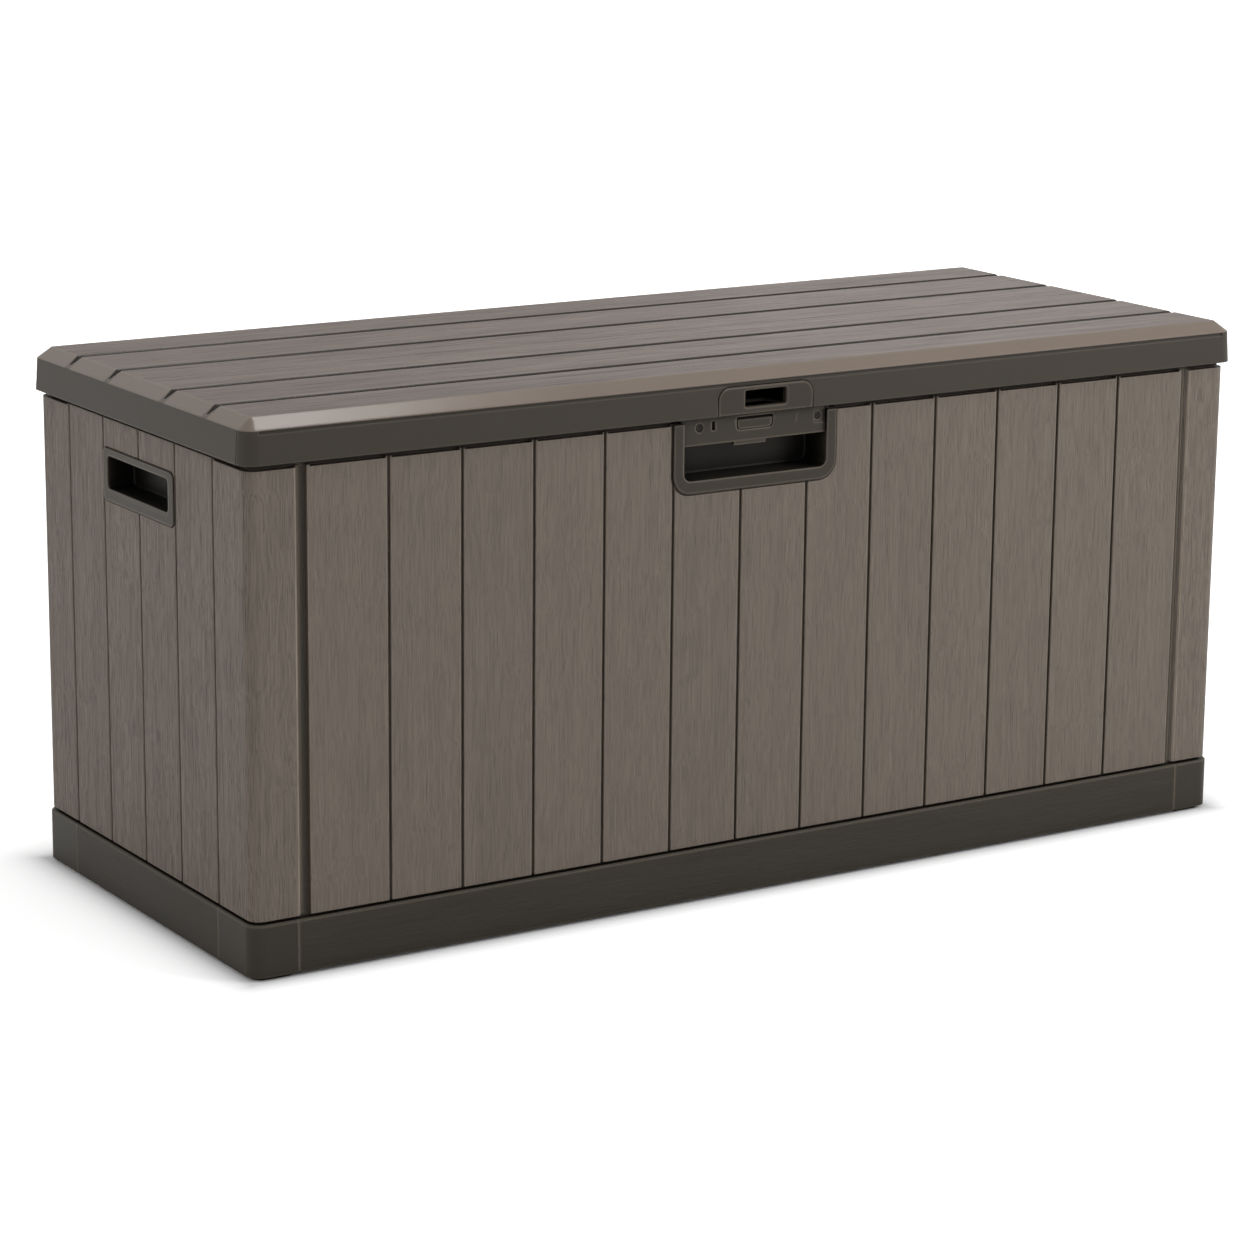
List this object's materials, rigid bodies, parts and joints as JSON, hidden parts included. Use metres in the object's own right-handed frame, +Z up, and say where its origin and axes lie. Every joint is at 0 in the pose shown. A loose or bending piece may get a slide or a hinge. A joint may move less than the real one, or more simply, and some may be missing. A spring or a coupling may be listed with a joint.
{
  "type": "deck storage box",
  "caption": "Outdoor resin storage box with plank-look walls, hinged lid on slotted stays, front hand recess with lock plate and side carrying pockets.",
  "frame": {"origin": "centre of the base, on the surface the feet rest on", "axes": "+X along the length to the right seen from the front, +Y from front to back, +Z up"},
  "size_m": [1.2, 0.486, 0.549],
  "materials": {
    "wall_resin": "fine wood grain",
    "lid_resin": "fine wood grain on the planks, smooth border",
    "plinth_resin": "faint grain",
    "block_resin": "smooth",
    "trim_resin": "smooth satin",
    "liner_resin": "fine texture",
    "steel": "zinc plated",
    "dark_steel": "blackened"
  },
  "bodies": {
    "box": {"corner_block_front_left": "block_resin", "corner_block_front_right": "block_resin", "corner_block_rear_left": "block_resin", "corner_block_rear_right": "block_resin", "corner_joint_front_left": "trim_resin", "corner_joint_front_right": "trim_resin", "corner_joint_rear_left": "trim_resin", "corner_joint_rear_right": "trim_resin", "floor_panel": "liner_resin", "front_panel": "wall_resin", "handle_pocket_left": "trim_resin", "handle_pocket_right": "trim_resin", "hinge_body_leaf_left": "steel", "hinge_body_leaf_middle": "steel", "hinge_body_leaf_right": "steel", "hinge_body_screws": "steel", "hinge_pin_left": "steel", "hinge_pin_middle": "steel", "hinge_pin_right": "steel", "latch_housing": "trim_resin", "latch_plate": "trim_resin", "latch_plate_screws": "dark_steel", "plinth_front": "plinth_resin", "plinth_left": "plinth_resin", "plinth_rear": "plinth_resin", "plinth_right": "plinth_resin", "rear_panel": "wall_resin", "rim_front_left": "trim_resin", "rim_front_right": "trim_resin", "rim_left": "trim_resin", "rim_rear": "trim_resin", "rim_right": "trim_resin", "side_panel_left": "wall_resin", "side_panel_right": "wall_resin", "stay_post_left": "steel", "stay_post_right": "steel", "stay_post_screws": "steel"},
    "lid": {"hinge_lid_leaf_left": "steel", "hinge_lid_leaf_middle": "steel", "hinge_lid_leaf_right": "steel", "hinge_lid_screws": "steel", "lid_liner_left": "liner_resin", "lid_liner_middle": "liner_resin", "lid_liner_right": "liner_resin", "lid_shell": "lid_resin", "lock_tab": "trim_resin", "stay_bracket_left": "steel", "stay_bracket_right": "steel", "stay_bracket_screws": "steel"},
    "stay_left": {"stay_arm_left": "steel"},
    "stay_right": {"stay_arm_right": "steel"},
    "flap": {"padlock_flap": "trim_resin"}
  },
  "joints": [
    {"name": "lid_hinge", "type": "hinge", "parent": "box", "child": "lid", "pos_m": [0, 0.2374, 0.4995], "axis": [-1, 0, 0], "range_deg": [0, 100]},
    {"name": "stay_left_pivot", "type": "hinge", "parent": "lid", "child": "stay_left", "pos_m": [-0.57075, 0.09383, 0.4935], "axis": [-1, 0, 0], "range_deg": [-50, 0]},
    {"name": "stay_right_pivot", "type": "hinge", "parent": "lid", "child": "stay_right", "pos_m": [0.57075, 0.09383, 0.4935], "axis": [-1, 0, 0], "range_deg": [-50, 0]},
    {"name": "padlock_flap_pivot", "type": "hinge", "parent": "box", "child": "flap", "pos_m": [-0.024, -0.2337, 0.4972], "axis": [1, 0, 0], "range_deg": [0, 80]}
  ],
  "couplings": [
    {"joint": "stay_left_pivot", "follows": "lid_hinge", "ratio": -0.5},
    {"joint": "stay_right_pivot", "follows": "lid_hinge", "ratio": -0.5}
  ]
}
